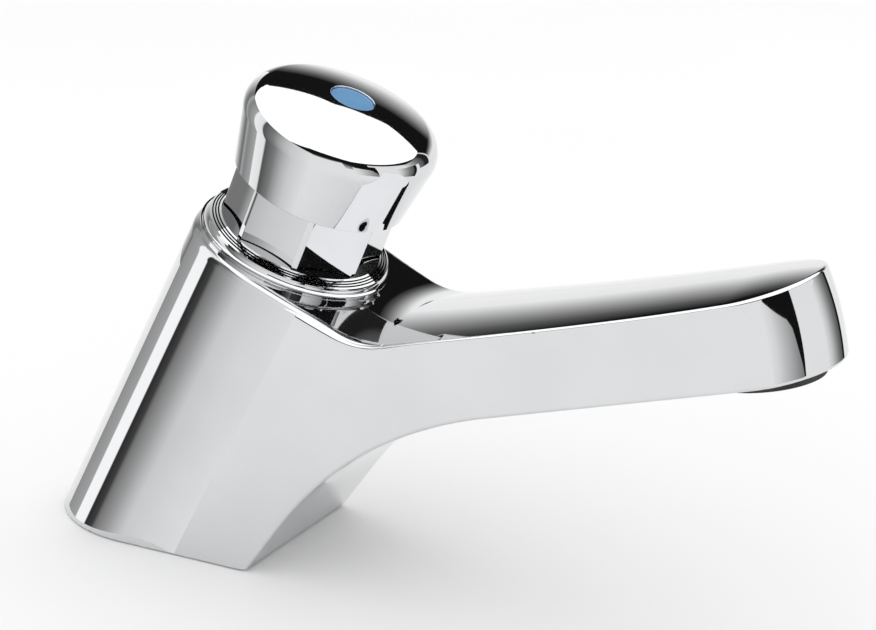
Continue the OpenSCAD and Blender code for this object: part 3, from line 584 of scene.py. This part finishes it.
def shoulder_centre():
    """Centre of the cap's shoulder, which touches the flare and the dome."""
    out, up = unit(-CAP_FLARE), unit(90 - CAP_FLARE)
    start = np.array([CAP_RIM_R, RIM_W]) - SHOULDER_R * out
    middle = CAP_TOP - DOME_R
    away = start - np.array([0, middle])
    b, c = away @ up, away @ away - (DOME_R - SHOULDER_R) ** 2
    return start + up * (sqrt(b * b - c) - b)


def make_cap():
    out, middle = unit(-CAP_FLARE), CAP_TOP - DOME_R
    shoulder, edge, lip = shoulder_centre(), 0.2, 0.15
    dome_start = degrees(atan2(shoulder[1] - middle, shoulder[0]))
    lip_r = DISC_POCKET + lip
    dome_end = degrees(np.arccos(lip_r / DOME_R))
    dome_foot = (lip_r, middle + sqrt(DOME_R ** 2 - lip_r ** 2))
    inside = [(DISC_POCKET, dome_foot[1] - lip), (DISC_POCKET, DISC_FOOT), (HEAD_HOLE, DISC_FOOT),
              (HEAD_HOLE, SCREW_SEAT), (SCREW_HOLE, SCREW_SEAT), (SCREW_HOLE, SOCKET_W), (SOCKET_R, SOCKET_W),
              (SOCKET_R, BOSS_W), (BOSS_R, BOSS_W), (BOSS_R, CEILING), (CAP_IN_R, CEILING), (CAP_IN_R, RIM_W + edge)]
    rim_edge = np.array([CAP_RIM_R, RIM_W]) + unit(90 - CAP_FLARE) * edge
    centre = rim_edge - out * edge
    runs = [
        curve((CAP_IN_R + edge, RIM_W + edge), edge, 180, 270, 4),
        straight((CAP_IN_R + edge, RIM_W), (centre[0], centre[1] - edge)),
        curve(centre, edge, -90, -CAP_FLARE, 4),
        straight(rim_edge, shoulder + SHOULDER_R * out, 2),
        curve(shoulder, SHOULDER_R, -CAP_FLARE, dome_start, 28),
        curve((0, middle), DOME_R, dome_start, dome_end, 20),
        curve((lip_r, dome_foot[1] - lip), lip, 90, 180, 4),
    ]
    return turned("cap_skin", runs + through(inside), ROUND)


def make_disc():
    edge, rise = 0.25, 0.05
    top = DISC_TOP - rise
    runs = [
        straight((0, DISC_FOOT), (DISC_R, DISC_FOOT)),
        straight((DISC_R, DISC_FOOT), (DISC_R, top - edge)),
        curve((DISC_R - edge, top - edge), edge, 0, 88, 5),
        [(r, top + rise * (1 - (r / (DISC_R - edge)) ** 2), 2 * rise * r / DISC_R ** 2, 1.0)
         for r in np.linspace(DISC_R - edge, 0, 8)],
    ]
    return turned("index_button", runs, ROUND)


def make_spring(rings=24, sides=12):
    """Coil whose end turns lie flat."""
    wire = WIRE / 2
    low, high = SPRING_FOOT + wire + SPRING_GAP, SPRING_FOOT + SPRING_LEN - wire - SPRING_GAP
    points = []
    for i in range(TURNS * rings + 1):
        turn = i / rings
        climb = min(max((turn - END_TURN) / (TURNS - 2 * END_TURN), 0), 1)
        for j in range(sides):
            a = 2 * pi * j / sides
            r, w = SPRING_R + wire * cos(a), low + (high - low) * climb + wire * sin(a)
            points.append(ON_AXIS @ (Vector((r * cos(2 * pi * turn), r * sin(2 * pi * turn), w)) * MM))
    faces = [(i * sides + j, (i + 1) * sides + j, (i + 1) * sides + (j + 1) % sides, i * sides + (j + 1) % sides)
             for i in range(TURNS * rings) for j in range(sides)]
    last = TURNS * rings * sides
    mesh = mesh_of("spring_coil", points, faces + [range(sides), range(last + sides - 1, last - 1, -1)])
    mesh.shade_smooth()
    return new_object("spring_coil", mesh)


# Finishes: the colour runs from low to high, the roughness between the values of rough
CHROME = {"low": (0.70, 0.705, 0.715), "high": (0.73, 0.735, 0.745), "metal": 1, "relief": 0.02, "depth": 2e-6}
PLASTIC = {"rough": (0.35, 0.5), "grain": 500, "relief": 0.1}
DRAWN = {"grain": 400, "metal": 1, "relief": 0.1, "stretch": (1, 1, 12)}
FINISHES = {
    "chrome_body": dict(CHROME, rough=(0.02, 0.045), grain=60),
    "chrome_trim": dict(CHROME, rough=(0.02, 0.05), grain=90),
    "chrome_cap": dict(CHROME, rough=(0.02, 0.04), grain=60),
    "blue_disc": dict(low=(0.13, 0.31, 0.55), high=(0.16, 0.35, 0.60), rough=(0.18, 0.28), grain=300, relief=0.03),
    "rubber": dict(low=(0.018, 0.018, 0.018), high=(0.035, 0.035, 0.035), rough=(0.6, 0.8), grain=900, relief=0.2),
    "white_plastic": dict(PLASTIC, low=(0.78, 0.78, 0.74), high=(0.84, 0.84, 0.80)),
    "green_plastic": dict(PLASTIC, low=(0.05, 0.26, 0.13), high=(0.07, 0.31, 0.16)),
    "dark_plastic": dict(low=(0.012, 0.012, 0.013), high=(0.022, 0.022, 0.024), rough=(0.4, 0.55), grain=700,
                         relief=0.1),
    "brass": dict(DRAWN, low=(0.62, 0.42, 0.16), high=(0.72, 0.50, 0.21), rough=(0.2, 0.34)),
    "steel": dict(DRAWN, low=(0.50, 0.50, 0.51), high=(0.60, 0.60, 0.61), rough=(0.22, 0.36)),
}
# Part of the noise's range that the ramps spread out, and the size of the roughness's grain beside the colour's
NOISE_LOW, NOISE_HIGH, ROUGH_GRAIN = 0.3, 0.7, 0.4


def material(name):
    mat = bpy.data.materials.new(name)
    mat.use_nodes = True
    return mat, mat.node_tree.nodes, mat.node_tree.links


def noise(nodes, links, scale, detail=3, stretch=(1, 1, 1)):
    place = nodes.new("ShaderNodeTexCoord")
    mapping = nodes.new("ShaderNodeMapping")
    mapping.inputs["Scale"].default_value = stretch
    texture = nodes.new("ShaderNodeTexNoise")
    texture.inputs["Scale"].default_value = scale
    texture.inputs["Detail"].default_value = detail
    links.new(place.outputs["Object"], mapping.inputs["Vector"])
    links.new(mapping.outputs["Vector"], texture.inputs["Vector"])
    return texture.outputs["Fac"]


def spread(nodes, links, source, low, high):
    ramp = nodes.new("ShaderNodeMapRange")
    ramp.inputs["From Min"].default_value, ramp.inputs["From Max"].default_value = NOISE_LOW, NOISE_HIGH
    ramp.inputs["To Min"].default_value, ramp.inputs["To Max"].default_value = low, high
    links.new(source, ramp.inputs["Value"])
    return ramp.outputs["Result"]


def tint(nodes, links, source, low, high):
    ramp = nodes.new("ShaderNodeValToRGB")
    first, last = ramp.color_ramp.elements
    first.position, last.position = NOISE_LOW, NOISE_HIGH
    first.color, last.color = (*low, 1), (*high, 1)
    links.new(source, ramp.inputs["Fac"])
    return ramp.outputs["Color"]


def bump(nodes, links, source, strength, distance):
    node = nodes.new("ShaderNodeBump")
    node.inputs["Strength"].default_value = strength
    node.inputs["Distance"].default_value = distance
    links.new(source, node.inputs["Height"])
    return node.outputs["Normal"]


def finish(name, low, high, rough, grain, metal=0.0, relief=0.0, depth=1e-5, stretch=(1, 1, 1)):
    """Procedural finish: colour and roughness wander between two values, with a fine relief."""
    mat, nodes, links = material(name)
    shader = nodes["Principled BSDF"]
    shader.inputs["Metallic"].default_value = metal
    source = noise(nodes, links, grain, stretch=stretch)
    links.new(tint(nodes, links, source, low, high), shader.inputs["Base Color"])
    links.new(spread(nodes, links, noise(nodes, links, grain * ROUGH_GRAIN), *rough), shader.inputs["Roughness"])
    if relief:
        links.new(bump(nodes, links, source, relief, depth), shader.inputs["Normal"])
    return mat


def dress(looks):
    """Gives each carried-over node its slot's finish."""
    for part in frame["record"]["subparts"]:
        mesh = frame["nodes"][part["node"]].data
        mesh.materials.clear()
        mesh.materials.append(looks[part["material_slot"]])


def add_piece(piece, body, node, slot, looks):
    """Gives a piece its finish and its body, and hides the node it stands for."""
    piece.data.materials.clear()
    piece.data.materials.append(looks[slot])
    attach(piece, body)
    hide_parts(node)


# Studio, in metres: centre of the far cards, brightness of a black card and of a graded card's 1
CENTRE = (0.06, 0.0, 0.06)
DARK, CARD_LEVEL = 0.008, 1.08
# Cards beside the nose: their radius and centre, and how far the flag stands in front of the fade
LOW_R, BESIDE_NOSE, FLAG_GAP = 0.17, (NOZZLE_X * MM, 0, 0.074), 0.002
# Cards close to the part that carry painted reflections, in millimetres: radius, and heights along the axis that
# they stand round
COLUMN_CARD_R, COLUMN_CARD_SPAN = 26.5, (-12, 78)
CAP_CARD_R, CAP_CARD_SPAN = 42, (50, 112)


def glow(name, strength):
    """Plain glowing material, and its emission node."""
    mat, nodes, links = material(name)
    nodes.remove(nodes["Principled BSDF"])
    lamp = nodes.new("ShaderNodeEmission")
    lamp.inputs["Strength"].default_value = strength
    links.new(lamp.outputs["Emission"], nodes["Material Output"].inputs["Surface"])
    return mat, lamp


def graded(name, stops):
    """Card whose brightness follows its reach; stops are (reach, brightness), in order."""
    mat, lamp = glow(name, CARD_LEVEL)
    nodes, links = mat.node_tree.nodes, mat.node_tree.links
    source = nodes.new("ShaderNodeAttribute")
    source.attribute_name = "reach"
    ramp = nodes.new("ShaderNodeValToRGB")
    elements = ramp.color_ramp.elements
    elements.remove(elements[1])
    for k, (at, level) in enumerate(stops):
        element = elements[0] if k == 0 else elements.new(at)
        element.position, element.color = at, (level, level, level, 1)
    links.new(source.outputs["Fac"], ramp.inputs["Fac"])
    links.new(ramp.outputs["Color"], lamp.inputs["Color"])
    return mat


def stage_card(name, points, reach, mat):
    """Strip of quads between pairs of points, seen in reflections only."""
    faces = [(i, i + 2, i + 3, i + 1) for i in range(0, len(points) - 2, 2)]
    mesh = mesh_of(name, points, faces)
    attribute = mesh.attributes.new("reach", "FLOAT", "POINT")
    attribute.data.foreach_set("value", np.array(reach, np.float32))
    mesh.materials.append(mat)
    card = new_object(name, mesh)
    card.visible_camera = card.visible_diffuse = card.visible_shadow = False


def far_card(name, low, high, mat, radius=1.2, across=False, centre=CENTRE, steps=72):
    """Curved card round the set: low and high are lists of (azimuth, elevation), azimuth from +Y toward +X.

    The reach runs from low to high or, across, from the first azimuth to the last."""
    start, end = low[0][0], low[-1][0]
    points, reach = [], []
    for i in range(steps + 1):
        az = start + (end - start) * i / steps
        for share, edge in ((0, low), (1, high)):
            el = np.interp(az, [a for a, _ in edge], [e for _, e in edge])
            x, y = radius * sin(radians(az)), radius * cos(radians(az))
            points.append((centre[0] + x, centre[1] + y, centre[2] + radius * tan(radians(el))))
            reach.append(i / steps if across else share)
    stage_card(name, points, reach, mat)


def painted_reflection_card(name, foot, lean, radius, heights, stripes, steps=96):
    """Curved card close round a leaning axis, whose glowing stripes are painted reflections on the part inside it;
    stripes are (azimuth, brightness).
    """
    start, end = stripes[0][0], stripes[-1][0]
    mat = graded(name, [((az - start) / (end - start), level) for az, level in stripes])
    place = tilted(foot, lean)
    points, reach = [], []
    for i in range(steps + 1):
        az = radians(start + (end - start) * i / steps)
        for w in heights:
            points.append(place @ Vector((radius * sin(az) * MM, radius * cos(az) * MM, w * MM)))
            reach.append(i / steps)
    stage_card(name, points, reach, mat)


def make_floor(radius=1.6, level=-0.0002, sides=96):
    """Pale round floor, just under the foot."""
    turns = np.linspace(0, 2 * pi, sides + 1)[:-1]
    mesh = mesh_of("floor", [(radius * cos(a), radius * sin(a), level) for a in turns], [range(sides)])
    mat, nodes, links = material("floor_white")
    shader = nodes["Principled BSDF"]
    shader.inputs["Roughness"].default_value = 0.9
    shader.inputs["Specular IOR Level"].default_value = 0.1
    links.new(tint(nodes, links, noise(nodes, links, 3), (0.93, 0.93, 0.93), (0.95, 0.95, 0.95)),
              shader.inputs["Base Color"])
    mesh.materials.append(mat)
    floor = new_object("floor", mesh)


def make_world(seen=1.0, ambient=0.67):
    """White surroundings for the camera and for reflections, dimmer as a light."""
    world = bpy.data.worlds.new("studio")
    bpy.context.scene.world = world
    world.use_nodes = True
    nodes, links = world.node_tree.nodes, world.node_tree.links
    back = nodes["Background"]
    back.inputs["Color"].default_value = (1, 1, 1, 1)
    path = nodes.new("ShaderNodeLightPath")
    most, either = nodes.new("ShaderNodeMath"), nodes.new("ShaderNodeMath")
    most.operation = either.operation = "MAXIMUM"
    level = nodes.new("ShaderNodeMapRange")
    level.inputs["To Min"].default_value, level.inputs["To Max"].default_value = ambient, seen
    links.new(path.outputs["Is Camera Ray"], either.inputs[0])
    links.new(path.outputs["Is Glossy Ray"], either.inputs[1])
    links.new(either.outputs[0], most.inputs[0])
    links.new(path.outputs["Is Transmission Ray"], most.inputs[1])
    links.new(most.outputs[0], level.inputs["Value"])
    links.new(level.outputs["Result"], back.inputs["Strength"])


def make_ceiling(size=5.0, height=1.3, brightness=0.5, shift=(0.5, -0.3)):
    """Wide soft lamp over the set."""
    lamp = bpy.data.lights.new("ceiling", "AREA")
    lamp.shape, lamp.size = "SQUARE", size
    lamp.energy = brightness * pi * size * size
    obj = bpy.data.objects.new("ceiling", lamp)
    obj.location = (shift[0], shift[1], height)
    obj.visible_camera = False
    bpy.context.scene.collection.objects.link(obj)


def make_flags():
    """Dark flags between the light ceiling and the pale floor; the nose flag's foot carries a painted shadow on the
    floor.
    """
    black, _ = glow("card_black", DARK)
    grey, _ = glow("card_grey", 0.22)
    back = graded("card_back", [(0, 0.9), (0.08, 0.72), (0.18, 0.47), (0.28, 0.26), (0.37, 0.11), (0.48, DARK),
                                (1, DARK)])
    side = graded("card_side", [(0, 0.02), (0.22, 0.02), (0.3, 0.1), (0.5, 0.2), (0.7, 0.4), (1, 0.8)])
    # Painted shadow: the nose flag's card is grey at its foot and darkens to black, standing for the flag's shadow
    # on the floor
    nose = graded("card_painted_floor_shadow", [(0, 0.75), (0.18, 0.5), (0.36, 0.25), (0.5, 0.07), (0.6, DARK), (1, DARK)])
    front = graded("card_front", [(0, 0.5), (0.12, 0.12), (0.25, DARK), (1, DARK)])
    left = graded("card_left", [(0, 0.08), (0.3, 0.3), (1, 0.15)])
    far_card("flag_back", [(-75, 4), (-50, 6), (-30, 8), (12, 8), (20, 6)],
             [(-75, 33), (-60, 38), (-48, 41), (-36, 41), (-24, 43), (-12, 44), (-4, 39.5), (0, 35.5), (12, 32),
              (20, 29)], back)
    far_card("strip_side", [(22, -14), (58, -10)], [(22, 29), (28, 26.5), (58, 18)], side, radius=1.15, across=True)
    far_card("flag_right", [(24, 8), (40, 16), (60, 19), (72, 20), (104, 20)],
             [(24, 28), (36, 25.5), (104, 25.5)], black)
    far_card("flag_nose", [(104, -24), (122, -14), (135, -4)], [(104, 25.5), (120, 25.5), (135, 29)], nose)
    far_card("flag_front", [(135, 13), (150, 12), (165, 12), (180, 13), (192, 17), (204, 16)],
             [(135, 29), (150, 31), (168, 31), (180, 27), (192, 25), (204, 23)], front)
    far_card("flag_grey", [(-156, 12), (-140, 0)], [(-156, 23), (-144, 21), (-140, 22)], grey)
    far_card("flag_dark", [(-140, 4), (-132, -4), (-120, -10), (-104, -12)],
             [(-140, 22), (-132, 25), (-120, 27), (-104, 33)], black)
    far_card("flag_left", [(-104, -12), (-75, -12)], [(-104, 33), (-75, 33)], left, across=True)


def make_nose_cards():
    """Cards beside the nose: a strip, a fade and the dark flag in front of it."""
    black, _ = glow("card_low", DARK)
    strip = graded("card_strip", [(0, 1.0), (0.13, 0.95), (0.16, DARK), (0.25, DARK), (0.29, 0.1), (0.48, 0.22),
                                  (0.65, 0.42), (0.83, 0.7), (1, 0.9)])
    fade = graded("card_fade", [(0, 0.2), (0.2, 0.33), (0.4, 0.48), (0.6, 0.63), (0.8, 0.81), (1, 0.91)])
    far_card("strip_low", [(20, -23), (66, -23)], [(20, 16), (66, 16)], strip, LOW_R, True, BESIDE_NOSE)
    far_card("fade_low", [(103.5, -23), (146, -23)], [(103.5, 12), (146, 12)], fade, LOW_R, True, BESIDE_NOSE)
    far_card("flag_low", [(103.5, -14), (107, -5), (110, 0), (113, 7), (118, 9.5), (142, 11)],
             [(103.5, 25), (142, 25)], black, LOW_R - FLAG_GAP, centre=BESIDE_NOSE)


def make_painted_reflection_cards():
    """Striped cards close round the column and the cap, glowing for reflections only: painted reflections on the
    chrome.
    """
    # Painted reflection: bright, dark and graded stripes round the column, set by azimuth
    painted_reflection_card("painted_reflection_column", (0, 0, 0), COLUMN_LEAN, COLUMN_CARD_R, COLUMN_CARD_SPAN,
              [(-120, 0.32), (-134, 0.40), (-138.5, 0.44), (-139.5, 1.15), (-150.5, 1.15), (-151.5, 0.03),
               (-158, 0.06), (-161, 0.22), (-170, 0.40), (-182, 0.74), (-195, 0.83), (-213, 0.89)])
    # Painted reflection: bright, dark and graded stripes round the cap, set by azimuth
    painted_reflection_card("painted_reflection_cap", (AXIS_X, 0, 0), BUTTON_LEAN, CAP_CARD_R, CAP_CARD_SPAN,
              [(-65, 1.1), (-94, 0.21), (-98.5, 0.21), (-101, 0.45), (-108, 0.28), (-122.5, 0.45), (-124, 1.06),
               (-137, 0.95), (-139, 0.10), (-152, 0.24), (-164, 0.56), (-172, 0.73), (-190, 0.92)])


def make_camera():
    """Camera fitted to the view: turned about Z, raised, then rolled."""
    a, e, roll = radians(TURN), radians(RISE), radians(ROLL)
    back = Vector((sin(a) * cos(e), -cos(a) * cos(e), sin(e)))
    right = Vector((cos(a), sin(a), 0))
    up = back.cross(right)
    side, head = right * cos(roll) + up * sin(roll), up * cos(roll) - right * sin(roll)
    lens = bpy.data.cameras.new("camera")
    lens.sensor_fit, lens.sensor_width = "HORIZONTAL", SENSOR
    lens.lens = FOCAL_PX / FRAME_W * SENSOR
    lens.clip_start = 0.01
    camera = bpy.data.objects.new("camera", lens)
    camera.matrix_world = Matrix((side, head, back)).transposed().to_4x4()
    camera.location = Vector(EYE) * MM
    bpy.context.scene.collection.objects.link(camera)
    bpy.context.scene.camera = camera


def main():
    bpy.context.scene.view_settings.view_transform = "Standard"
    make_camera()
    looks = {name: finish(name, **look) for name, look in FINISHES.items()}
    dress(looks)
    add_piece(make_body(), "tap", "tap_body", "chrome_body", looks)
    add_piece(make_collar(), "tap", "collar_ring", "chrome_trim", looks)
    add_piece(make_bonnet(), "tap", "bonnet", "chrome_trim", looks)
    add_piece(make_cap(), "button", "push_cap", "chrome_cap", looks)
    add_piece(make_disc(), "button", "index_disc", "blue_disc", looks)
    spring = make_spring()
    add_piece(spring, "tap", "return_spring", "steel", looks)
    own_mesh(spring)
    make_floor()
    make_world()
    make_ceiling()
    make_flags()
    make_nose_cards()
    make_painted_reflection_cards()


main()
